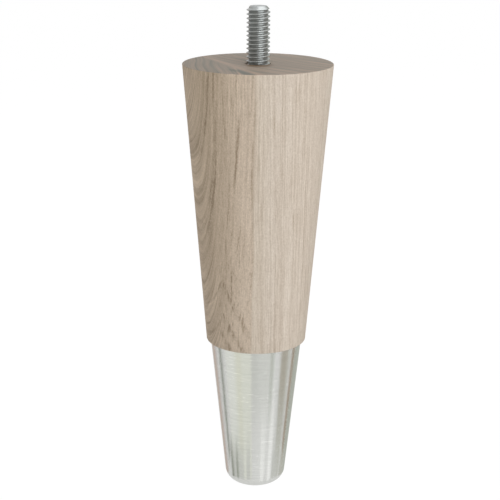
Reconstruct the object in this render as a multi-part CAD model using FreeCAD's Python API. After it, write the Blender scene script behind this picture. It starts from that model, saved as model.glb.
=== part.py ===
"""Tapered oak furniture leg: a turned oak body on a brushed steel ferrule, with a threaded stud
standing out of its top face.

Frame: millimetres, +Z up along the turning axis. The origin is the centre of the floor contact, so the
leg stands on Z = 0 and its top face, which meets the furniture, is at Z = leg_height.

Four pieces make the leg:
  oak_body       one turning: the long taper, the tenon below its shoulder, the holes at both ends
  hanger_bolt    machine thread above the top face, wood screw below it (the helixes are left off)
  steel_ferrule  a drawn tapered cup with a rounded bottom edge, pushed over the tenon to the shoulder
  floor_glide    a nylon plug that stands a little proud of the cup and carries the load to the tenon
"""
import FreeCAD, Part
import math
import os

# Whole leg
leg_height = 152.4                # 6 in, floor to the top face
shoulder_height = 55.2            # floor to the shoulder, where oak meets steel

# Oak body
top_diameter = 50.8               # 2 in
shoulder_diameter = 34.9
arris = 0.25                      # the eased edge at the top and at the shoulder
tenon_play = 0.1                  # the glue line between the tenon and the cup's wall
tenon_end_play = 0.3              # the same, between the tenon's end and the cup's floor

# Steel ferrule
mouth_diameter = 32.1
base_diameter = 20.6              # where the taper would meet the cup's underside, were its edge sharp
ferrule_edge_radius = 4.6
ferrule_wall = 1.2
inner_edge_flat = 2.4             # the flat inside the bottom edge, which keeps the wall nearly even there
mouth_chamfer = 0.3               # inside the mouth, so that the tenon starts easily

# Floor glide
glide_proud = 0.5                 # below the cup's underside
glide_head_diameter = 10.0
glide_head_play = 0.1             # round the head, in the hole through the cup's floor
glide_edge = 0.3                  # the chamfer round its wearing face
glide_stem_diameter = 4.0
glide_stem_length = 14.0
glide_stem_play = 0.05
glide_point_length = 1.5

# Hanger bolt, 5/16 in, 18 threads to the inch, 2 in long
thread_diameter = 7.9375
thread_pitch = 1.4111
bolt_length = 50.8
stud_length = 19.05               # 3/4 in of machine thread above the top face
stud_tip_chamfer = 1.2
shank_length = 6.0                # the plain stretch below the top face
screw_core_diameter = 5.8
screw_point_length = 6.0
bolt_hole_play = 0.08             # round the shank and the screw's core
mouth_play = 0.35                 # round the thread, in the hole's wider mouth
mouth_depth = 3.0
drill_point_angle = 118           # degrees, the cone at the end of the drilled holes

# Worked out from the sizes above
ferrule_height = shoulder_height - glide_proud
ferrule_slope = (mouth_diameter - base_diameter) / 2 / ferrule_height
pitch_diameter = thread_diameter - 0.75 * math.cos(math.radians(30)) * thread_pitch
stud_tip = leg_height + stud_length
screw_tip = stud_tip - bolt_length
glide_head_height = glide_proud + ferrule_wall + tenon_end_play
glide_tip = glide_head_height + glide_stem_length

SAME_HEIGHT = 1e-6


def point(radius, height):
    return FreeCAD.Vector(radius, 0, height)


def turned(*corners):
    """A solid of revolution about Z, from the corners (radius, height) of its half section."""
    outline = [point(*corner) for corner in corners]
    wire = Part.makePolygon(outline + outline[:1])
    return Part.Face(wire).revolve(point(0, 0), FreeCAD.Vector(0, 0, 1), 360)


def circle_edges(shape, height):
    """The round edges of a turned shape that lie at one height."""
    return [edge for edge in shape.Edges
            if isinstance(edge.Curve, Part.Circle) and abs(edge.CenterOfMass.z - height) < SAME_HEIGHT]


def outer_edge(shape, height):
    return max(circle_edges(shape, height), key=lambda edge: edge.Curve.Radius)


def drill_point(diameter):
    """How far a drill's cone reaches past the full width of its hole."""
    return diameter / 2 / math.tan(math.radians(drill_point_angle / 2))


def tapered_plug(base_radius, slope, bottom, top):
    """A tapered round bar. base_radius is at the height called bottom."""
    top_radius = base_radius + slope * (top - bottom)
    return turned((0, bottom), (base_radius, bottom), (top_radius, top), (0, top))


def inside_of_cup(inset, floor):
    """The cup's inside, or a plug that fits in it: inset is taken off square to the tapered wall."""
    sideways = inset * math.hypot(1, ferrule_slope)
    radius_at_floor = base_diameter / 2 + ferrule_slope * (floor - glide_proud) - sideways
    plug = tapered_plug(radius_at_floor, ferrule_slope, floor, shoulder_height)
    return plug.makeChamfer(inner_edge_flat, [outer_edge(plug, floor)])


def make_bolt_hole():
    """A mouth wider than the thread, clearance for the shank, then the pilot hole."""
    mouth = thread_diameter / 2 + mouth_play
    shank_hole = pitch_diameter / 2 + bolt_hole_play
    pilot_hole = screw_core_diameter / 2 + bolt_hole_play
    mouth_floor = leg_height - mouth_depth
    shank_floor = leg_height - shank_length
    pilot_floor = screw_tip - bolt_hole_play
    return turned(
        (0, leg_height),
        (mouth, leg_height),
        (mouth, mouth_floor),
        (shank_hole, mouth_floor),
        (shank_hole, shank_floor),
        (pilot_hole, shank_floor),
        (pilot_hole, pilot_floor),
        (0, pilot_floor - drill_point(2 * pilot_hole)),
    )


def make_glide_hole():
    """The blind hole up the tenon that the glide's stem is driven into."""
    radius = glide_stem_diameter / 2 + glide_stem_play
    top = glide_tip + glide_stem_play
    return turned(
        (0, glide_head_height),
        (radius, glide_head_height),
        (radius, top),
        (0, top + drill_point(2 * radius)),
    )


def make_oak_body():
    taper = turned(
        (0, shoulder_height),
        (shoulder_diameter / 2, shoulder_height),
        (top_diameter / 2, leg_height),
        (0, leg_height),
    )
    rims = [outer_edge(taper, shoulder_height), outer_edge(taper, leg_height)]
    taper = taper.makeChamfer(arris, rims)
    tenon = inside_of_cup(ferrule_wall + tenon_play, glide_head_height)
    return taper.fuse(tenon).cut([make_bolt_hole(), make_glide_hole()]).removeSplitter()


def make_steel_ferrule():
    outside = tapered_plug(base_diameter / 2, ferrule_slope, glide_proud, shoulder_height)
    outside = outside.makeFillet(ferrule_edge_radius, [outer_edge(outside, glide_proud)])
    inside = inside_of_cup(ferrule_wall, glide_proud + ferrule_wall)
    mouth_radius = mouth_diameter / 2 - ferrule_wall * math.hypot(1, ferrule_slope)
    mouth = turned(
        (0, shoulder_height - mouth_chamfer),
        (mouth_radius - ferrule_slope * mouth_chamfer, shoulder_height - mouth_chamfer),
        (mouth_radius + mouth_chamfer, shoulder_height),
        (0, shoulder_height),
    )
    hole_radius = glide_head_diameter / 2 + glide_head_play
    hole = Part.makeCylinder(hole_radius, ferrule_height, point(0, 0))
    return outside.cut([inside, mouth, hole])


def make_floor_glide():
    head = glide_head_diameter / 2
    stem = glide_stem_diameter / 2
    return turned(
        (0, 0),
        (head - glide_edge, 0),
        (head, glide_edge),
        (head, glide_head_height),
        (stem, glide_head_height),
        (stem, glide_tip - glide_point_length),
        (stem / 2, glide_tip),
        (0, glide_tip),
    )


def make_hanger_bolt():
    thread = thread_diameter / 2
    shank = pitch_diameter / 2
    core = screw_core_diameter / 2
    return turned(
        (0, stud_tip),
        (thread - stud_tip_chamfer, stud_tip),
        (thread, stud_tip - stud_tip_chamfer),
        (thread, leg_height),
        (shank, leg_height),
        (shank, leg_height - shank_length),
        (core, leg_height - shank_length),
        (core, screw_tip + screw_point_length),
        (0, screw_tip),
    )


pieces = {
    "oak_body": make_oak_body(),
    "hanger_bolt": make_hanger_bolt(),
    "steel_ferrule": make_steel_ferrule(),
    "floor_glide": make_floor_glide(),
}

os.makedirs("parts", exist_ok=True)
for name, solid in pieces.items():
    solid.exportStep(f"parts/{name}.step")
    print(name, "solids", len(solid.Solids), "valid", solid.isValid(), "volume", round(solid.Volume, 1))
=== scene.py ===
"""Looks of the tapered oak furniture leg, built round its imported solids.

Metres, in the solids' own frame: +Z runs up the turning axis from the floor contact, and the camera looks
along +Y from the front. Each turned piece is one closed mesh, the bolt's two threads are Geometry Nodes,
and every finish is made of nodes that read the pieces' own coordinates.
"""
import math
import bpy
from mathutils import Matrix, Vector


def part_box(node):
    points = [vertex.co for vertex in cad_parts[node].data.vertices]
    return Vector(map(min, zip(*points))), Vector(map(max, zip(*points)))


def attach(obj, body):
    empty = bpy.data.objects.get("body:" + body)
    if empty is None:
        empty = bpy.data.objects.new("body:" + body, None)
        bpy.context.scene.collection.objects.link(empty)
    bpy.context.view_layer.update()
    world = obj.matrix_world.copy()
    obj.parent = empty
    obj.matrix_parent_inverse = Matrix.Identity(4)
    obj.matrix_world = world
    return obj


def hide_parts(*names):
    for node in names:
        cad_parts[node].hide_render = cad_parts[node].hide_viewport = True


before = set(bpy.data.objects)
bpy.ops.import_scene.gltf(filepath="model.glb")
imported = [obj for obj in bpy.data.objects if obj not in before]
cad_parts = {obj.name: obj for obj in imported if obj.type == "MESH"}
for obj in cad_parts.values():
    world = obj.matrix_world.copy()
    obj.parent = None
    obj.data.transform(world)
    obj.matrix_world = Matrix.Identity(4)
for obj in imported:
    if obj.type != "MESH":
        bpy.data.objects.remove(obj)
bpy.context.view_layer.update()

from types import SimpleNamespace

import bpy
from mathutils import Matrix, Vector

MM = 0.001
WHOLE_TURN = 2 * math.pi

# Heights and sizes that the solids give
TOP_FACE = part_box("oak_body")[1][2]
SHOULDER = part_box("steel_ferrule")[1][2]
CUP_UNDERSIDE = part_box("steel_ferrule")[0][2]
TENON_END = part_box("oak_body")[0][2]
STUD_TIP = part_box("hanger_bolt")[1][2]
SCREW_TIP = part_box("hanger_bolt")[0][2]
THREAD_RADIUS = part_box("hanger_bolt")[1][0]
GLIDE_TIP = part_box("floor_glide")[1][2]

# Oak
TOP_RADIUS = 25.4 * MM
SHOULDER_RADIUS = 17.45 * MM
OAK_SLOPE = (TOP_RADIUS - SHOULDER_RADIUS) / (TOP_FACE - SHOULDER)
ARRIS = 0.25 * MM
TENON_PLAY = 0.1 * MM
HOLE_EASE = 0.1 * MM              # the broken edge of a hole, in the oak and in the cup

# Steel cup
MOUTH_RADIUS = 16.05 * MM
BASE_RADIUS = 10.3 * MM
CUP_SLOPE = (MOUTH_RADIUS - BASE_RADIUS) / (SHOULDER - CUP_UNDERSIDE)
CUP_WALL = 1.2 * MM
CUP_EDGE = 4.6 * MM
CUP_INNER_FLAT = 2.4 * MM
CUP_LIP = 0.15 * MM               # the outer edge of its mouth
CUP_MOUTH_EASE = 0.3 * MM         # the inner one

# Nylon glide
GLIDE_HEAD_RADIUS = 5.0 * MM
GLIDE_HEAD_PLAY = 0.1 * MM
GLIDE_EASE = 0.3 * MM
GLIDE_STEM_RADIUS = 2.0 * MM
GLIDE_STEM_PLAY = 0.05 * MM
GLIDE_POINT = 1.5 * MM

# Bolt: machine thread above, plain shank, wood screw below
THREAD_PITCH = 25.4 * MM / 18
THREAD_DEPTH = 0.5413 * THREAD_PITCH   # as in any unified thread
STUD_CHAMFER = 1.2 * MM
CREST_PHASE = 0.03                # turns the helix as the photograph shows it
THREAD_RUN_OUT = 2.4 * MM         # how far the machine thread goes on below the top face
STUD_LOWER_POINT = 1.0 * MM
SHANK_RADIUS = 3.51 * MM
SHANK_LENGTH = 6.0 * MM
SCREW_CORE_RADIUS = 2.9 * MM
SCREW_PITCH = 2.8 * MM
SCREW_POINT = 6.0 * MM
SCREW_TOP_CHAMFER = 1.0 * MM
BOLT_HOLE_PLAY = 0.08 * MM
HOLE_MOUTH_PLAY = 0.35 * MM
HOLE_MOUTH_DEPTH = 3.0 * MM
DRILL_POINT = math.tan(math.radians(31))

# Angles past which an edge stays sharp
TURNED_CREASE = math.radians(28)
THREAD_CREASE = math.radians(60)

# The oak's veins of early wood on the left stave's side, laid out one by one after the photograph, in
# millimetres: lowest and highest point, place across the growth rings at each, half width, and depth of tone
SIDE_VEINS = (
    (98, 122, 15.65, 15.78, 0.58, 0.50),
    (122, 160, 15.85, 17.20, 0.45, 0.38),
    (97, 126, 15.30, 15.40, 0.15, 0.70),
    (93, 116, 16.10, 16.10, 0.16, 0.45),
    (120, 160, 16.30, 17.40, 0.14, 0.40),
    (125, 160, 18.70, 18.60, 0.26, 0.75),
    (132, 160, 13.30, 15.60, 0.20, 0.45),
    (138, 145, 11.80, 11.60, 0.20, 0.45),
    (144, 160, 10.40, 10.40, 0.22, 0.50),
    (137, 143, 11.25, 11.25, 0.20, 0.50),
    (114, 139, 10.10, 9.15, 0.38, 0.62),
    (138, 160, 6.00, 4.60, 0.28, 0.45),
    (127, 144, 4.88, 4.15, 0.42, 0.75),
    (119, 128, 4.95, 4.88, 0.36, 0.55),
    (100, 120, 4.10, 4.95, 0.38, 0.68),
    (102, 115, 11.45, 11.50, 0.22, 0.80),
    (94, 100, 8.40, 7.85, 0.22, 0.70),
    (94, 101, 10.10, 10.10, 0.18, 0.50),
    (85, 96, 10.80, 11.65, 0.19, 0.75),
    (74, 85, 8.95, 9.60, 0.18, 0.75),
    (71, 81, 12.85, 11.70, 0.15, 0.75),
    (58, 67, 11.60, 10.60, 0.17, 0.85),
)

# The same stave's veins on the top face: place across the rings, half width, and depth of tone
TOP_VEINS = ((15.8, 0.7, 0.8), (18.7, 0.45, 0.7), (21.3, 0.3, 1.0), (13.4, 0.2, 0.5))

# Where its rings close in arches low down: start of the arch's right side along the face, height there, and
# how far it falls for each millimetre to the right
ARCHES = ((8.0, 80.7, 3.0), (7.2, 67.6, 2.15), (5.7, 61.4, 1.75))

# Linear colours of the finishes, each from its darkest tone to its palest
LEFT_STAVE = ((0.29, 0.214, 0.138), (0.715, 0.57, 0.415))
LEFT_BY_GLUE = ((0.335, 0.252, 0.176), (0.835, 0.705, 0.572))
RIGHT_STAVE = ((0.41, 0.32, 0.236), (0.78, 0.696, 0.603))
RIGHT_BY_GLUE = ((0.41, 0.316, 0.224), (0.78, 0.686, 0.573))
END_GRAIN = ((0.265, 0.262, 0.225), (0.575, 0.448, 0.355))
# The steel's palest tone also carries painted glints
BRUSHED_STEEL_AND_GLINTS = ((0.63, 0.635, 0.61), (0.81, 0.815, 0.79))
# The zinc's darkest tone is painted shade, for the thread's roots
ZINC_WITH_ROOT_SHADE = ((0.13, 0.132, 0.126), (0.56, 0.58, 0.58))
NATURAL_NYLON = ((0.55, 0.53, 0.48), (0.82, 0.80, 0.74))
# Painted contact shadow, warm with a painted reflection of the oak, in front of the bolt's hole
HOLE_PAINTED_SHADOW = (0.20, 0.115, 0.055)

# Linear colours of the studio's cards and panels
WHITE = (1.12, 1.12, 1.12)
MILK = (1.04, 1.045, 1.04)
PEARL = (0.93, 0.94, 0.90)
CREAM = (0.90, 0.91, 0.84)
STRAW = (0.87, 0.87, 0.76)
DOVE = (0.71, 0.715, 0.69)
GREY = (0.62, 0.62, 0.57)
LILAC = (0.62, 0.57, 0.56)
ROSE = (0.58, 0.485, 0.43)
SAGE = (0.53, 0.55, 0.50)
MOSS = (0.52, 0.53, 0.48)
CLAY = (0.50, 0.46, 0.39)
TAN = (0.34, 0.24, 0.15)
DARK = (0.22, 0.24, 0.19)
STUD_LIGHT = (2.95, 3.05, 3.08)
STUD_SHADE = (0.28, 0.285, 0.27)
OVERHEAD_LIGHT = (1.62, 1.64, 1.64)

# How bright the sky is in gloss, and as light on the leg, where it is 1 to the camera
SKY_IN_GLOSS = 0.74
SKY_AS_LIGHT = 0.42

# The floor: matt paint, the strength of its glow, the glow's share to the camera, and how much of that share
# is left in gloss
FLOOR_PAINT = 0.85
FLOOR_GLOW = 1.07
FLOOR_GLOW_SHARE = 0.9
FLOOR_IN_GLOSS = 0.64

# How the foot mirrors its surroundings, seen from the front
MIRROR_TURN = 2.07                # a sight line that meets it at an azimuth leaves at this many times that
MIRROR_WIDENING = 0.0735          # a millimetre further off shows where the foot is this much wider
MIRROR_REACH = 80                 # this many millimetres off shows at its mouth, and what is further too

# The camera that took in the whole leg from a little above: its place, its angles in radians, its focal
# length in pixels of a picture of 500 by 500, its film in millimetres, and the nearest it sees in metres
CAMERA_PLACE = Vector((0, -433.26 * MM, 215.31 * MM))
CAMERA_DOWN = 0.2874
CAMERA_TURN = -0.0053
CAMERA_ROLL = -0.0063
FOCAL_PIXELS = 1295.65
PICTURE_PIXELS = 500
FILM_WIDTH = 36
NEAREST_SEEN = 0.01


# Meshes

def in_scene(name, data):
    """An object in the scene for a mesh, a lamp or a camera."""
    thing = bpy.data.objects.new(name, data)
    bpy.context.scene.collection.objects.link(thing)
    return thing


def turned(name, profile, closed_loop=False, sides=256):
    """A solid of revolution. Its profile's (radius, height) corners run with the solid on their left."""
    vertices, rings = [], []
    for radius, height in profile:
        if radius == 0:
            rings.append([len(vertices)] * sides)
            vertices.append((0, 0, height))
            continue
        rings.append(list(range(len(vertices), len(vertices) + sides)))
        for side in range(sides):
            angle = WHOLE_TURN * side / sides
            vertices.append((radius * math.cos(angle), radius * math.sin(angle), height))
    if closed_loop:
        rings.append(rings[0])
    faces = []
    for low, high in zip(rings, rings[1:]):
        for side in range(sides):
            beside = (side + 1) % sides
            corners = [low[side], low[beside], high[beside], high[side]]
            faces.append(list(dict.fromkeys(corners)))
    mesh = bpy.data.meshes.new(name)
    mesh.from_pydata(vertices, [], faces)
    mesh.validate()
    mesh.shade_smooth()
    mesh.set_sharp_from_angle(angle=TURNED_CREASE)
    return in_scene(name, mesh)


def eased(before, corner, after, radius, steps=4):
    """The corner of a profile as an arc of the given radius that touches both of its sides."""
    before, corner, after = Vector(before), Vector(corner), Vector(after)
    back = (before - corner).normalized()
    on = (after - corner).normalized()
    half = back.angle(on) / 2
    centre = corner + (back + on).normalized() * (radius / math.sin(half))
    first = (corner + back * (radius / math.tan(half)) - centre).normalized()
    last = (corner + on * (radius / math.tan(half)) - centre).normalized()
    return [tuple(centre + first.slerp(last, step / steps) * radius) for step in range(steps + 1)]


def stepped(start, end, count):
    """Corners evenly spaced between two corners of a profile, without the first."""
    return [tuple(Vector(start).lerp(Vector(end), step / count)) for step in range(1, count + 1)]


def oak_radius(height):
    """The oak's tapered side."""
    return TOP_RADIUS - OAK_SLOPE * (TOP_FACE - height)


def cup_radius(height, inset=0.0):
    """The cup's tapered wall, or a surface inside it by inset, taken square to the wall."""
    return BASE_RADIUS + CUP_SLOPE * (height - CUP_UNDERSIDE) - inset * math.hypot(1, CUP_SLOPE)


def flat_inside(floor, inset):
    """The lower end of the cup's inside, or of the tenon in it: floor, flat and wall."""
    corner = (cup_radius(floor, inset), floor)
    up_wall = Vector((CUP_SLOPE, 1)).normalized() * CUP_INNER_FLAT
    return [(corner[0] - CUP_INNER_FLAT, floor), tuple(Vector(corner) + up_wall)]


def make_oak():
    """The leg's body, with the tenon inside the cup, the glide's hole and the bolt's stepped hole."""
    glide_hole = GLIDE_STEM_RADIUS + GLIDE_STEM_PLAY
    glide_hole_top = GLIDE_TIP + GLIDE_STEM_PLAY
    mouth = THREAD_RADIUS + HOLE_MOUTH_PLAY
    shank_hole = SHANK_RADIUS + BOLT_HOLE_PLAY
    pilot = SCREW_CORE_RADIUS + BOLT_HOLE_PLAY
    pilot_floor = SCREW_TIP - BOLT_HOLE_PLAY
    tenon = CUP_WALL + TENON_PLAY
    shoulder_corner = (SHOULDER_RADIUS, SHOULDER)
    top_corner = (TOP_RADIUS, TOP_FACE)
    taper = eased((0, SHOULDER), shoulder_corner, top_corner, ARRIS)
    taper += stepped(taper[-1], (oak_radius(TOP_FACE - MM), TOP_FACE - MM), count=24)
    taper += eased(shoulder_corner, top_corner, (0, TOP_FACE), ARRIS)
    profile = [
        (0, glide_hole_top + glide_hole * DRILL_POINT),
        (glide_hole, glide_hole_top),
        (glide_hole, TENON_END),
        *flat_inside(TENON_END, tenon),
        (cup_radius(SHOULDER, tenon), SHOULDER),
        *taper,
        (TOP_RADIUS / 2, TOP_FACE),
        (mouth + HOLE_EASE, TOP_FACE),
        (mouth, TOP_FACE - HOLE_EASE),
        (mouth, TOP_FACE - HOLE_MOUTH_DEPTH),
        (shank_hole, TOP_FACE - HOLE_MOUTH_DEPTH),
        (shank_hole, TOP_FACE - SHANK_LENGTH),
        (pilot, TOP_FACE - SHANK_LENGTH),
        (pilot, pilot_floor),
        (0, pilot_floor - pilot * DRILL_POINT),
    ]
    return turned("oak_turning", profile)


def make_cup():
    """The drawn steel foot, a wall of even thickness with the glide's hole in its floor."""
    floor = CUP_UNDERSIDE + CUP_WALL
    hole = GLIDE_HEAD_RADIUS + GLIDE_HEAD_PLAY
    base_corner = (BASE_RADIUS, CUP_UNDERSIDE)
    mouth_corner = (MOUTH_RADIUS, SHOULDER)
    inner_mouth = cup_radius(SHOULDER, CUP_WALL)
    wall = eased((0, CUP_UNDERSIDE), base_corner, mouth_corner, CUP_EDGE, steps=20)
    wall += stepped(wall[-1], (cup_radius(SHOULDER - MM), SHOULDER - MM), count=12)
    wall += eased(base_corner, mouth_corner, (inner_mouth, SHOULDER), CUP_LIP, steps=3)
    profile = [
        (hole, CUP_UNDERSIDE + HOLE_EASE),
        (hole + HOLE_EASE, CUP_UNDERSIDE),
        *wall,
        (inner_mouth + CUP_MOUTH_EASE, SHOULDER),
        (cup_radius(SHOULDER - CUP_MOUTH_EASE, CUP_WALL), SHOULDER - CUP_MOUTH_EASE),
        *reversed(flat_inside(floor, CUP_WALL)),
        (hole, floor),
    ]
    return turned("steel_cup", profile, closed_loop=True)


def make_glide():
    """The plug that the leg stands on: its head in the cup's floor, its stem in the tenon."""
    stem_start = TENON_END
    profile = [
        (0, 0),
        *eased((0, 0), (GLIDE_HEAD_RADIUS, 0), (GLIDE_HEAD_RADIUS, stem_start), GLIDE_EASE),
        (GLIDE_HEAD_RADIUS, stem_start),
        (GLIDE_STEM_RADIUS, stem_start),
        (GLIDE_STEM_RADIUS, GLIDE_TIP - GLIDE_POINT),
        (GLIDE_STEM_RADIUS / 2, GLIDE_TIP),
        (0, GLIDE_TIP),
    ]
    return turned("nylon_glide", profile, sides=96)


# Node trees

class Number:
    """A number inside a node tree. Arithmetic on it adds Math nodes."""

    def __init__(self, tree, socket):
        self.tree = tree
        self.socket = socket

    def math(self, operation, *others):
        node = self.tree.nodes.new("ShaderNodeMath")
        node.operation = operation
        feed(node.inputs, self, *others)
        return Number(self.tree, node.outputs[0])

    def __add__(self, other):
        return self.math("ADD", other)

    def __sub__(self, other):
        return self.math("SUBTRACT", other)

    def __mul__(self, other):
        return self.math("MULTIPLY", other)

    def __truediv__(self, other):
        return self.math("DIVIDE", other)

    def __rsub__(self, other):
        return self * -1 + other

    __radd__ = __add__
    __rmul__ = __mul__

    def held(self, low, high):
        """The number, but no less than low and no more than high."""
        return self.math("MAXIMUM", low).math("MINIMUM", high)

    def ramp(self, low, high):
        """0 where the number is at low or beyond, 1 at high or beyond, and a smooth step between."""
        node = self.tree.nodes.new("ShaderNodeMapRange")
        node.interpolation_type = "SMOOTHSTEP"
        feed(node.inputs, self, low, high)
        return Number(self.tree, node.outputs[0])


def feed(sockets, *values):
    """Each value into its socket: a link from a node, or a plain number."""
    for socket, value in zip(sockets, values):
        if isinstance(value, Number):
            value.tree.links.new(value.socket, socket)
        else:
            socket.default_value = value


def threaded_bar_tree():
    """A bar with a helical thread, closed at both ends: rows of a grid wound up the bar, a pitch a turn."""
    tree = bpy.data.node_groups.new("threaded_bar", "GeometryNodeTree")
    sizes = ("Crest Radius", "Root Radius", "Pitch", "Crest Phase", "Crest Share", "Root Share",
             "Bottom", "Top", "Tip Chamfer", "Point Length")
    for size in sizes:
        tree.interface.new_socket(size, in_out="INPUT", socket_type="NodeSocketFloat")
    tree.interface.new_socket("Finish", in_out="INPUT", socket_type="NodeSocketMaterial")
    tree.interface.new_socket("Geometry", in_out="OUTPUT", socket_type="NodeSocketGeometry")

    def node(kind, *inputs, **settings):
        new = tree.nodes.new(kind)
        for setting, value in settings.items():
            setattr(new, setting, value)
        feed(new.inputs, *inputs)
        return new

    def first(new):
        return Number(tree, new.outputs[0])

    inputs = node("NodeGroupInput")
    (crest, root, pitch, phase, crest_share, root_share,
     bottom, top, chamfer, point) = [Number(tree, socket) for socket in inputs.outputs[:len(sizes)]]

    # Each spot of a flat grid has its share of a turn, and the height that the helix has climbed to there
    sides, rows_per_pitch, spare_turns = 96, 20, 4
    rows = ((top - bottom) / pitch + spare_turns).math("CEIL") * rows_per_pitch + 1
    grid = node("GeometryNodeMeshGrid", 1.0, 1.0, sides + 1)
    feed([grid.inputs["Vertices Y"]], rows)
    place = node("ShaderNodeSeparateXYZ", first(node("GeometryNodeInputPosition")))
    turn = Number(tree, place.outputs["X"]) + 0.5
    row = ((Number(tree, place.outputs["Y"]) + 0.5) * (rows - 1)).math("ROUND")
    along = row * pitch / rows_per_pitch + (bottom / pitch).math("FLOOR") * pitch - pitch * (spare_turns / 2)
    climb = along + turn * pitch
    height = climb.held(bottom, top)

    # The thread's section, from root to crest and back within each pitch
    wave = ((along / pitch - phase).math("FRACT") * 2 - 1).math("ABSOLUTE")
    flank = (wave - root_share) / (1 - root_share - crest_share)
    thread = root + (crest - root) * flank.held(0.0, 1.0)

    # A chamfer above and a point below cut it down, and the spare turns close both ends
    tip_cone = crest - chamfer + (top - height)
    point_cone = crest * (height - bottom) / point
    ends = thread.math("MINIMUM", tip_cone).math("MINIMUM", point_cone)
    past_top = 1 - (climb - top).math("MAXIMUM", 0.0) / pitch
    past_bottom = 1 - (bottom - climb).math("MAXIMUM", 0.0) / pitch
    radius = ends * past_top.math("MAXIMUM", 0.0) * past_bottom.math("MAXIMUM", 0.0)

    angle = turn * WHOLE_TURN
    spot = node("ShaderNodeCombineXYZ", radius * angle.math("COSINE"), radius * angle.math("SINE"), height)
    wound = node("GeometryNodeSetPosition", first(grid))
    feed([wound.inputs["Position"]], first(spot))
    welded = node("GeometryNodeMergeByDistance", first(wound))
    feed([welded.inputs["Distance"]], 0.001 * MM)
    smooth = node("GeometryNodeSetShadeSmooth", first(welded))
    whole = node("GeometryNodeRealizeInstances", first(smooth))
    dressed = node("GeometryNodeSetMaterial", first(whole))
    feed([dressed.inputs["Material"]], Number(tree, inputs.outputs["Finish"]))
    output = node("NodeGroupOutput", first(dressed))
    output.is_active_output = True
    return tree


def threaded_bar(name, tree, finish, sizes):
    """A plain mesh of the tree's bar with these sizes, its modifier used up."""
    carrier = in_scene(name + "_carrier", bpy.data.meshes.new(name + "_carrier"))
    modifier = carrier.modifiers.new("thread", "NODES")
    modifier.node_group = tree
    for item in tree.interface.items_tree:
        if item.in_out == "INPUT":
            modifier[item.identifier] = finish if item.name == "Finish" else sizes[item.name]
    evaluated = carrier.evaluated_get(bpy.context.evaluated_depsgraph_get())
    mesh = bpy.data.meshes.new_from_object(evaluated)
    mesh.name = name
    bpy.data.objects.remove(carrier)
    return mesh


def make_bolt(finish):
    """Stud, shank and wood screw as one mesh."""
    tree = threaded_bar_tree()
    stud = threaded_bar("stud", tree, finish, {
        "Crest Radius": THREAD_RADIUS, "Root Radius": THREAD_RADIUS - THREAD_DEPTH,
        "Pitch": THREAD_PITCH, "Crest Phase": CREST_PHASE, "Crest Share": 0.125, "Root Share": 0.25,
        "Bottom": TOP_FACE - THREAD_RUN_OUT, "Top": STUD_TIP, "Tip Chamfer": STUD_CHAMFER,
        "Point Length": STUD_LOWER_POINT})
    screw = threaded_bar("screw", tree, finish, {
        "Crest Radius": THREAD_RADIUS, "Root Radius": SCREW_CORE_RADIUS,
        "Pitch": SCREW_PITCH, "Crest Phase": 0.0, "Crest Share": 0.06, "Root Share": 0.6,
        "Bottom": SCREW_TIP, "Top": TOP_FACE - SHANK_LENGTH,
        "Tip Chamfer": SCREW_TOP_CHAMFER, "Point Length": SCREW_POINT})
    shank = turned("shank", [
        (0, TOP_FACE - SHANK_LENGTH - MM), (SHANK_RADIUS, TOP_FACE - SHANK_LENGTH),
        (SHANK_RADIUS, TOP_FACE - THREAD_RUN_OUT + MM), (0, TOP_FACE - THREAD_RUN_OUT + MM)], sides=96)
    shank.data.materials.append(finish)
    bolt = in_scene("threaded_hanger_bolt", stud)
    lower = in_scene("screw", screw)
    with bpy.context.temp_override(active_object=bolt, selected_editable_objects=[bolt, lower, shank]):
        bpy.ops.object.join()
    bolt.data.set_sharp_from_angle(angle=THREAD_CREASE)
    return bolt


# Finishes

class Finish:
    """A material under construction: its tree, its shader with plain values to start from, and the nodes
    that patterns are made of."""

    def __init__(self, name, roughness, metallic=0.0, specular=0.5):
        self.material = bpy.data.materials.new(name)
        self.material.use_nodes = True
        self.tree = self.material.node_tree
        self.shader = self.tree.nodes["Principled BSDF"]
        self.shader.inputs["Roughness"].default_value = roughness
        self.shader.inputs["Metallic"].default_value = metallic
        self.shader.inputs["Specular IOR Level"].default_value = specular

    def coordinate(self, kind):
        """The three parts of one of the piece's own coordinates."""
        spot = self.tree.nodes.new("ShaderNodeTexCoord")
        parts = self.tree.nodes.new("ShaderNodeSeparateXYZ")
        self.tree.links.new(spot.outputs[kind], parts.inputs[0])
        return [Number(self.tree, part) for part in parts.outputs]

    def place(self):
        """The spot on the piece, in millimetres."""
        return [part / MM for part in self.coordinate("Object")]

    def facing_up(self):
        """1 on level faces that look up, 0 on upright ones, -1 on those that look down."""
        return self.coordinate("Normal")[2]

    def vector(self, x, y, z):
        joined = self.tree.nodes.new("ShaderNodeCombineXYZ")
        feed(joined.inputs, x, y, z)
        return Number(self.tree, joined.outputs[0])

    def noise(self, x, y, z, detail=2.0, roughness=0.5):
        """Soft noise from about -1 to 1. Each coordinate comes already divided by the size of its blobs."""
        cloud = self.tree.nodes.new("ShaderNodeTexNoise")
        feed([cloud.inputs["Vector"]], self.vector(x, y, z))
        feed([cloud.inputs[name] for name in ("Scale", "Detail", "Roughness")], 1.0, detail, roughness)
        return (Number(self.tree, cloud.outputs[0]) - 0.5) * 2

    def mix(self, share, colour, other):
        """One colour turned into the other by share. Each is a link or three linear parts."""
        blend = self.tree.nodes.new("ShaderNodeMix")
        blend.data_type = "RGBA"
        feed([blend.inputs[0]], share)
        for socket, value in ((blend.inputs[6], colour), (blend.inputs[7], other)):
            feed([socket], value if isinstance(value, Number) else (*value, 1))
        return Number(self.tree, blend.outputs[2])

    def bump(self, height, depth):
        bump = self.tree.nodes.new("ShaderNodeBump")
        bump.inputs["Distance"].default_value = depth
        feed([bump.inputs["Height"]], height)
        self.tree.links.new(bump.outputs[0], self.shader.inputs["Normal"])

    def set(self, socket, value):
        feed([self.shader.inputs[socket]], value)


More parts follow.
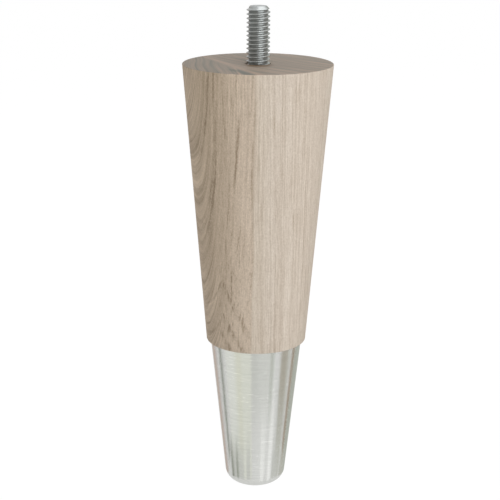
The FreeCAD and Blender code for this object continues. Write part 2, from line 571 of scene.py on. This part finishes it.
def soft_line(measure, place, half_width):
    """1 where the measure meets the place, falling off softly to both sides."""
    off = (measure - place) / half_width
    return (off * off * -1).math("EXPONENT")


def between(height, low, high, fade=5.0):
    """1 between two heights, with a soft end of this much to both sides of each."""
    return height.ramp(low - fade, low + fade) * (1 - height.ramp(high - fade, high + fade))


def swell(across, up, middle, spread, rise):
    """A rounded hump in the growth rings, of the given rise, in millimetres."""
    aside = (across - middle[0]) / spread[0]
    along = (up - middle[1]) / spread[1]
    return ((aside * aside + along * along) * -1).math("EXPONENT") * rise


def oak_grain(wood):
    """Where a spot lies in the two glued staves, in millimetres: its place, how far it is to the right of
    the glue line, and how far across and along the growth rings of its own stave. Then, from 0 to 1, where
    the left stave is flat sawn, where its low front is, and where its veins are unbroken."""
    x, y, z = wood.place()
    below = TOP_FACE / MM - z

    # The glue line runs down the front with a slow bow, and the pale line beside it keeps straighter
    across_x, across_y, from_axis, drift = 0.905, 0.425, 11.34, 0.0242
    waver = wood.noise(x / 9, y / 9, z / 25)
    joint = x * across_x + y * across_y - below * drift + from_axis + waver * 0.25
    pale_at = joint - (102 - z) * 0.0135
    joint = joint - soft_line(z, 91, 11) * 0.42
    right = (joint / (0.25 + z.ramp(90, 125))).ramp(-1, 1)
    left = 1 - right

    # The left stave's rings are nearly flat. They turn on the way down, and they swell in one place. Along
    # the face is towards the front right.
    turn_at_top, turn_each_mm = math.radians(-81.8), math.radians(0.191)
    turn = below * turn_each_mm + turn_at_top
    along_face = x * 0.5 - y * 0.866
    left_rings = x * turn.math("SINE") - y * turn.math("COSINE") - below * 0.070
    left_rings += swell(along_face, z, (-8.0, 116.5), (9.0, 32.5), -2.6)
    left_rings += along_face.ramp(3, -16) * 1.8
    left_rings += wood.noise(x / 4, y / 4, z / 18) * 0.11

    # The right stave's rings run round a pith outside the leg, and they waver low down
    pith_x, pith_y, pith_away = 79, 66, 103
    aside, behind = x - pith_x, y - pith_y
    right_rings = pith_away - (aside * aside + behind * behind).math("SQRT") + z * 0.07 + waver * 0.5
    low_down = 1 - z.ramp(70, 105)
    right_rings += wood.noise(x / 5, y / 5, z / 11) * 0.4 * low_down

    return SimpleNamespace(
        x=x, y=y, z=z, joint=joint, pale_at=pale_at, right=right, left=left,
        along_face=along_face, left_rings=left_rings,
        rings=left_rings * left + right_rings * right,
        tangent=along_face * left + (y - x) * 0.7071 * right,
        flat_sawn=(1 - along_face.ramp(3, 10)) * left,
        low_front=(1 - z.ramp(78, 112)) * along_face.ramp(4, 9) * left,
        gaps=wood.noise(left_rings / 2, along_face / 5, z / 7, detail=2).ramp(-0.4, 0.2))


def oak_veins(wood, at):
    """The left stave's veins of early wood, broken up by gaps and pores, and the pale flecks in them."""
    early_wood = 0.0
    for low, high, at_low, at_high, half_width, depth in SIDE_VEINS:
        place = (at.z - low) * ((at_high - at_low) / (high - low)) + at_low
        shown = between(at.z, low, high, fade=3.0)
        early_wood = soft_line(at.left_rings, place, half_width) * depth * shown + early_wood
    pores = wood.noise(at.rings / 0.5, at.tangent / 0.5, at.z / 1.6, detail=2, roughness=0.7)
    open_pores = 0.35 + pores.ramp(-0.25, 0.2) * 0.65
    veins = early_wood * at.left * (0.4 + at.gaps * 0.6) * open_pores * (1 - at.flat_sawn * 0.3)
    flecks = wood.noise(at.x / 0.55, at.y / 0.55, at.z / 0.9, detail=1).ramp(0.25, 0.5)
    return veins, flecks * at.left * (0.15 + early_wood * 0.6)


def oak_spots(wood, at):
    """Dark dashes low on the left stave's front, thick where its rings close in arches."""
    arches = 0.0
    for start, top, fall in ARCHES:
        beyond = at.along_face - start
        off = (at.z - top + beyond * fall) / math.hypot(1, fall)
        arches = soft_line(off, 0.0, 0.75) * beyond.ramp(-0.8, 0.4) + arches
    dashes = wood.noise(at.rings / 0.6, at.tangent / 0.8, at.z / 3.2, detail=2)
    scattered = dashes.ramp(0.1, 0.4) * at.low_front * 0.6
    return scattered + (dashes.ramp(-0.2, 0.25) * 0.75 + 0.15) * arches * at.left


def oak_lines(wood, at):
    """Fine lines along the grain, and stacked arcs where the left stave's face lies along its rings."""
    rings, tangent, z = at.rings, at.tangent, at.z
    bands = wood.noise(rings / 2.4, tangent / 30, z / 120, detail=2)
    streaks = wood.noise(rings / 0.8, tangent / 25, z / 150, detail=4, roughness=0.72)
    threads = wood.noise(rings / 0.32, tangent / 20, z / 40, detail=1)
    combed = 1 - wood.noise(rings / 1.5, tangent / 14, z / 90, detail=2).math("ABSOLUTE").ramp(0.0, 0.18)
    broken = wood.noise(rings / 0.8, tangent / 3, z / 10, detail=2).ramp(-0.3, 0.3)
    lines = streaks * (0.55 - at.left * 0.22) + threads * (0.26 - at.left * 0.16) + bands * 0.15
    lines = lines - combed * broken * (0.2 - at.left * 0.1)
    lines = lines * (1 - at.low_front * 0.5 + z.ramp(118, 146) * at.left * 0.5)
    arcs = wood.noise(at.left_rings / 0.22, at.along_face / 60, z / 300, detail=3, roughness=0.6)
    arcs = arcs + wood.noise(at.left_rings / 1.1, at.along_face / 20, z / 60, detail=2) * 0.7 - 0.06
    arcs = arcs * (0.48 + at.gaps * 0.30 + (1 - z.ramp(80, 104)) * 0.12)
    return lines + (arcs - lines) * at.flat_sawn


def pale_lines(at):
    """Two single pale lines along the left stave's rings, and one beside the glue line."""
    upper = soft_line(at.left_rings, 17.0 + (at.z - 137) * 0.042, 0.2) * between(at.z, 124, 142)
    lower = soft_line(at.left_rings, 12.8 - (at.z - 70) * 0.14, 0.1) * between(at.z, 69, 73, fade=1.5)
    by_glue = soft_line(at.pale_at, 0.5, 0.18) * (1 - at.z.ramp(104, 112))
    return by_glue + (lower * at.left + upper * at.left * 1.6)


def side_tone(wood, at, specks):
    """How pale the leg's side is, from 0 to 1."""
    fine = wood.noise(at.rings / 0.3, at.tangent / 0.6, at.z / 5, detail=2, roughness=0.7)
    mottle = wood.noise(at.x / 2.5, at.y / 2.5, at.z / 7, detail=3, roughness=0.65)
    clouds = wood.noise(at.x / 14, at.y / 14, at.z / 35, detail=1)
    veins, flecks = oak_veins(wood, at)
    tone = 0.57 + oak_lines(wood, at) + fine * (0.34 - at.flat_sawn * 0.2 - at.left * 0.08)
    tone = tone + specks * 0.3 + clouds * 0.08 + mottle * 0.12
    tone = tone - veins * 0.85 - oak_spots(wood, at) * 0.45 + pale_lines(at) * 0.16 + flecks * 0.4
    return tone.held(0.0, 1.0)


def side_colour(wood, at, tone):
    """Tan on the left stave and greyer on the right one, and a little different beside the glue line."""
    left_away, left_near = wood.mix(tone, *LEFT_STAVE), wood.mix(tone, *LEFT_BY_GLUE)
    left_colour = wood.mix(at.joint.ramp(-16, 0), left_away, left_near)
    right_tone = tone + soft_line(at.joint, 2.0, 3.0) * at.z.ramp(70, 84) * 0.07
    right_tone = soft_line(at.joint, 1.6, 0.8) * soft_line(at.z, 86, 4) * 0.2 + right_tone
    right_away, right_near = wood.mix(right_tone, *RIGHT_STAVE), wood.mix(right_tone, *RIGHT_BY_GLUE)
    right_colour = wood.mix(soft_line(at.joint, 0.0, 4.5) * 0.8, right_away, right_near)
    return wood.mix(at.right, left_colour, right_colour)


def end_colour(wood, at, specks):
    """End grain: greenish early wood and pinkish late wood, a pale strip and a dark wedge along the glue
    line, and a painted brown contact shadow with a warm painted reflection in front of the bolt's hole."""
    veins = 0.0
    for place, half_width, depth in TOP_VEINS:
        veins = soft_line(at.left_rings, place, half_width) * depth + veins
    bands = wood.noise(at.rings / 1.7, at.tangent / 40, 0.0, detail=2) * 0.85
    lines = wood.noise(at.rings / 0.5, at.tangent / 25, 0.0, detail=2) * 0.35
    strip = soft_line(at.joint, 1.2, 1.1) * 0.45 + soft_line(at.left_rings, 9.1, 0.4) * at.left * 0.5
    wedge = soft_line(at.joint, -1.8, 1.5) * at.left * at.y.ramp(-12, -17) * 0.8
    tone = 0.54 + at.right * 0.04 + bands * (1 - at.left * 0.4) + lines + specks * 0.15 + strip
    tone = (tone - veins * at.left * 0.42 - wedge).held(0.0, 1.0)
    # Painted contact shadow with a warm painted reflection, round a spot in front of the bolt's hole
    painted_shadow_y = at.y + 4.0
    painted_shadow = 1 - (at.x * at.x + painted_shadow_y * painted_shadow_y).math("SQRT").ramp(1.5, 6.5)
    return wood.mix(painted_shadow * 0.85, wood.mix(tone, *END_GRAIN), HOLE_PAINTED_SHADOW)


def oak_finish():
    """Two glued staves of greyed oak. Rings, pores and streaks are solid, so each face cuts them anew."""
    wood = Finish("greyed oak", roughness=0.65, specular=0.2)
    at = oak_grain(wood)
    specks = wood.noise(at.x / 0.35, at.y / 0.35, at.z / 0.6, detail=1)
    tone = side_tone(wood, at, specks)
    on_an_end = wood.facing_up().math("ABSOLUTE").ramp(0.6, 0.8)
    wood.set("Base Color", wood.mix(on_an_end, side_colour(wood, at, tone), end_colour(wood, at, specks)))
    wood.set("Roughness", 0.62 - tone * 0.12)
    wood.bump(tone, 0.03 * MM)
    return wood.material


def steel_finish():
    """Satin steel turned round the axis: fine level rings, short painted glints, and shine drawn out
    upright.
    """
    steel = Finish("turned steel", roughness=0.27, metallic=1.0)
    x, y, z = steel.place()
    rings = steel.noise(x / 60, y / 60, z / 0.3, detail=3, roughness=0.7)
    broken = steel.noise(x / 7, y / 7, z / 0.3, detail=2, roughness=0.6)
    # Short pale dashes in the colour are painted glints
    painted_glints = steel.noise(x / 2.5, y / 2.5, z / 0.35, detail=1).ramp(0.25, 0.6)
    tone = rings * 0.36 + broken * 0.4 + painted_glints + 0.38
    steel.set("Base Color", steel.mix(tone, *BRUSHED_STEEL_AND_GLINTS))
    steel.set("Roughness", 0.26 - tone * 0.05)
    steel.set("Anisotropic", 0.85)
    steel.set("Anisotropic Rotation", 0.25)
    tangent = steel.tree.nodes.new("ShaderNodeTangent")
    tangent.direction_type = "RADIAL"
    tangent.axis = "Z"
    steel.tree.links.new(tangent.outputs[0], steel.shader.inputs["Tangent"])
    return steel.material


def zinc_finish():
    """Zinc plate on a rolled thread: grey, a little cloudy, with painted shade in the roots."""
    zinc = Finish("zinc plate", roughness=0.34, metallic=1.0)
    x, y, z = zinc.place()
    # Painted shade: the colour darkens from low on the flanks into the roots, but not on the tip's chamfer
    root, root_shade_end, tip = 3.12, 3.46, STUD_TIP / MM
    on_tip = z.ramp(tip - 1.3, tip - 1.1) * 0.9
    crest = (x * x + y * y).math("SQRT").ramp(root, root_shade_end).math("MAXIMUM", on_tip)
    cloud = zinc.noise(x / 1.5, y / 1.5, z / 1.5, detail=3)
    tone = crest * 0.71 + cloud * 0.2 + 0.22
    zinc.set("Base Color", zinc.mix(tone, *ZINC_WITH_ROOT_SHADE))
    zinc.set("Roughness", 0.40 - tone * 0.1)
    return zinc.material


def nylon_finish():
    """Natural nylon, scuffed where it stands on the floor."""
    nylon = Finish("natural nylon", roughness=0.45)
    x, y, z = nylon.place()
    scuffs = nylon.noise(x / 0.4, y / 2.5, z / 2, detail=3) * (1 - z.ramp(0.05, 0.4))
    cloud = nylon.noise(x / 2, y / 2, z / 2)
    nylon.set("Base Color", nylon.mix(0.6 + cloud * 0.2 - scuffs * 0.4, *NATURAL_NYLON))
    nylon.set("Roughness", 0.5 - scuffs * 0.2)
    nylon.bump(scuffs, 0.02 * MM)
    return nylon.material


# The studio

def soft_box(name, place, size, watts):
    """A rectangular lamp that faces the middle of the leg."""
    lamp = bpy.data.lights.new(name, "AREA")
    lamp.shape = "RECTANGLE"
    lamp.size, lamp.size_y = size
    lamp.energy = watts
    holder = in_scene(name, lamp)
    holder.location = place
    inwards = Vector((0, 0, TOP_FACE / 2)) - Vector(place)
    holder.rotation_euler = inwards.to_track_quat("-Z", "Y").to_euler()


def make_studio():
    """Three soft lamps, sky and floor, and what the leg's gloss mirrors."""
    soft_box("key", (0.36, -0.70, 0.36), size=(0.7, 0.6), watts=3.2)
    soft_box("side", (0.75, 0.0, 0.25), size=(0.35, 0.5), watts=0.92)
    soft_box("left rim", (-0.6, 0.35, 0.25), size=(0.3, 0.5), watts=0.8)
    make_sky()
    make_floor()
    make_cards()
    make_panels()


def make_cards():
    """Paper cards round the leg that only its gloss sees. Each is laid so that the foot, seen from the
    front, shows it between two of its own azimuths, from the left round to the right."""
    card("rose", -77, -66.5, ROSE)
    card("lilac", -66.5, -62, LILAC)
    card("left dark", -55.5, -50.8, DARK, near=18)
    card("pearl", -44, -30, PEARL)
    card("cream", -30, -6, CREAM, lift=0.3)
    card("straw", -27, -20, STRAW)
    card("upper dove", -6, 18, DOVE, near=48)
    card("upper sage", 19, 25, SAGE, near=47, lift=0.5)
    card("first strip", 10, 17.5, MILK, near=2, far=36)
    card("second strip", 24.5, 31.5, WHITE, near=2, far=54)
    card("upper clay", 35, 46, CLAY, near=55, lift=0.5)
    card("grey", 37, 50, GREY)
    card("tan", 54.5, 60, TAN)
    card("sage", 61, 82, SAGE)
    card("low moss", -50, -43, MOSS, near=4, far=24, lift=0.5)
    card("low dove", -43, -37.5, DOVE, near=4, far=24, lift=0.5)
    card("low sage", -37.5, -32, SAGE, near=4, far=26, lift=0.5)
    card("low middle dove", -32, -9, DOVE, near=4, far=24, lift=0.5)
    card("low thin strip", -36, -34, DARK, near=4, far=22, lift=0.6)
    card("low cream", -21, -16, CREAM, near=4, far=24, lift=0.6)
    card("low dark strip", -48.5, -45, DARK, near=4, far=28, lift=0.6)
    card("low right dove", 33, 46, DOVE, near=4, far=24, lift=0.5)
    card("low right grey", 53, 70, GREY, near=4, far=24, lift=0.5)


def card(name, start, end, colour, near=5, far=400, lift=0.4):
    """A card lies from near to far along the sight lines that the foot mirrors, in millimetres, a little
    above the floor. A long one stands up at its far end."""
    def spot(seen_at, reach, height):
        own, mirrored = math.radians(seen_at), math.radians(MIRROR_TURN * seen_at)
        radius = BASE_RADIUS / MM + MIRROR_WIDENING * min(reach, MIRROR_REACH)
        return Vector((radius * math.sin(own) + reach * math.sin(mirrored),
                       -radius * math.cos(own) - reach * math.cos(mirrored), height)) * MM

    rows = [(near, lift), (min(far, MIRROR_REACH), lift)]
    if far > MIRROR_REACH:
        rows += [(far, lift), (far, far)]
    gloss_panel(name, [spot(side, *row) for row in rows for side in (start, end)], colour)


def make_panels():
    """Upright panels make the stud's thread light on its right and dark on its left, and one overhead
    lights its tip."""
    upright_panel("stud light", 5, 60, STUD_LIGHT)
    upright_panel("stud shade", -155, -6, STUD_SHADE)
    overhead = [(side, depth, 0.5) for side in (-0.03, 0.3) for depth in (-0.25, 0.25)]
    gloss_panel("overhead", overhead, OVERHEAD_LIGHT)


def upright_panel(name, start, end, colour, reach=0.25, low=0.11, high=0.22, steps=8):
    """A panel that stands round the leg at this reach, between two azimuths and two heights."""
    corners = []
    for step in range(steps + 1):
        azimuth = math.radians(start + (end - start) * step / steps)
        x, y = reach * math.sin(azimuth), -reach * math.cos(azimuth)
        corners += [(x, y, low), (x, y, high)]
    gloss_panel(name, corners, colour)


def gloss_panel(name, corners, colour):
    """A lit strip that only glossy surfaces see. Its corners come in pairs, one from each of its edges."""
    faces = [(pair, pair + 2, pair + 3, pair + 1) for pair in range(0, len(corners) - 2, 2)]
    mesh = bpy.data.meshes.new(name + " card")
    mesh.from_pydata(corners, [], faces)
    paper = bpy.data.materials.new(name + " paper")
    paper.use_nodes = True
    paper.node_tree.nodes.clear()
    lit = paper.node_tree.nodes.new("ShaderNodeEmission")
    lit.inputs["Color"].default_value = (*colour, 1)
    output = paper.node_tree.nodes.new("ShaderNodeOutputMaterial")
    paper.node_tree.links.new(lit.outputs[0], output.inputs[0])
    mesh.materials.append(paper)
    panel = in_scene(name + " card", mesh)
    panel.visible_camera = False
    panel.visible_diffuse = False
    panel.visible_transmission = False
    panel.visible_shadow = False


def make_sky():
    """White to the camera, dimmer in gloss, and dimmer still as light on the leg."""
    world = bpy.context.scene.world or bpy.data.worlds.new("studio")
    bpy.context.scene.world = world
    world.use_nodes = True
    tree = world.node_tree
    rays = tree.nodes.new("ShaderNodeLightPath")
    seen = Number(tree, rays.outputs["Is Camera Ray"])
    in_gloss = Number(tree, rays.outputs["Is Glossy Ray"]) * SKY_IN_GLOSS
    background = tree.nodes["Background"]
    background.inputs["Color"].default_value = (1, 1, 1, 1)
    feed([background.inputs["Strength"]], seen.math("MAXIMUM", in_gloss).math("MAXIMUM", SKY_AS_LIGHT))


def make_floor():
    """A wide floor, a hair below the glide."""
    reach, level = 3.0, -0.05 * MM
    mesh = bpy.data.meshes.new("floor")
    mesh.from_pydata([(x, y, level) for x in (-reach, reach) for y in (-reach, reach)], [], [(0, 2, 3, 1)])
    mesh.materials.append(floor_finish())
    in_scene("floor", mesh)


def floor_finish():
    """White to the camera but for the leg's shadow, and a pale grey in the leg's gloss."""
    material = bpy.data.materials.new("pale floor")
    material.use_nodes = True
    tree = material.node_tree
    tree.nodes.clear()
    rays = tree.nodes.new("ShaderNodeLightPath")
    matt = tree.nodes.new("ShaderNodeBsdfDiffuse")
    matt.inputs["Color"].default_value = (FLOOR_PAINT, FLOOR_PAINT, FLOOR_PAINT, 1)
    lit = tree.nodes.new("ShaderNodeEmission")
    lit.inputs["Strength"].default_value = FLOOR_GLOW
    in_gloss = Number(tree, rays.outputs["Is Glossy Ray"]) * FLOOR_IN_GLOSS
    seen = Number(tree, rays.outputs["Is Camera Ray"]) + in_gloss
    mix = tree.nodes.new("ShaderNodeMixShader")
    feed([mix.inputs[0]], seen * FLOOR_GLOW_SHARE)
    tree.links.new(matt.outputs[0], mix.inputs[1])
    tree.links.new(lit.outputs[0], mix.inputs[2])
    output = tree.nodes.new("ShaderNodeOutputMaterial")
    tree.links.new(mix.outputs[0], output.inputs[0])
    return material


def make_camera():
    """The photograph's camera, from its place, its three angles and its focal length."""
    ahead = Vector((math.sin(CAMERA_TURN) * math.cos(CAMERA_DOWN),
                    math.cos(CAMERA_TURN) * math.cos(CAMERA_DOWN), -math.sin(CAMERA_DOWN)))
    level = Vector((math.cos(CAMERA_TURN), -math.sin(CAMERA_TURN), 0))
    down = ahead.cross(level)
    right = level * math.cos(CAMERA_ROLL) + down * math.sin(CAMERA_ROLL)
    below = down * math.cos(CAMERA_ROLL) - level * math.sin(CAMERA_ROLL)
    lens = bpy.data.cameras.new("camera")
    lens.sensor_width = FILM_WIDTH
    lens.lens = FOCAL_PIXELS / PICTURE_PIXELS * FILM_WIDTH
    lens.clip_start = NEAREST_SEEN
    camera = in_scene("camera", lens)
    facing = Matrix((right, -below, -ahead)).transposed().to_4x4()
    camera.matrix_world = Matrix.Translation(CAMERA_PLACE) @ facing
    bpy.context.scene.camera = camera


def dress(piece, node, finish=None):
    """The piece stands for the solid of this name, and takes the finish if it has none yet."""
    if finish is not None:
        piece.data.materials.append(finish)
    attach(piece, "root")
    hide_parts(node)


dress(make_oak(), "oak_body", oak_finish())
dress(make_cup(), "steel_ferrule", steel_finish())
dress(make_glide(), "floor_glide", nylon_finish())
dress(make_bolt(zinc_finish()), "hanger_bolt")
make_studio()
make_camera()

view = bpy.context.scene.view_settings
view.view_transform = "Standard"
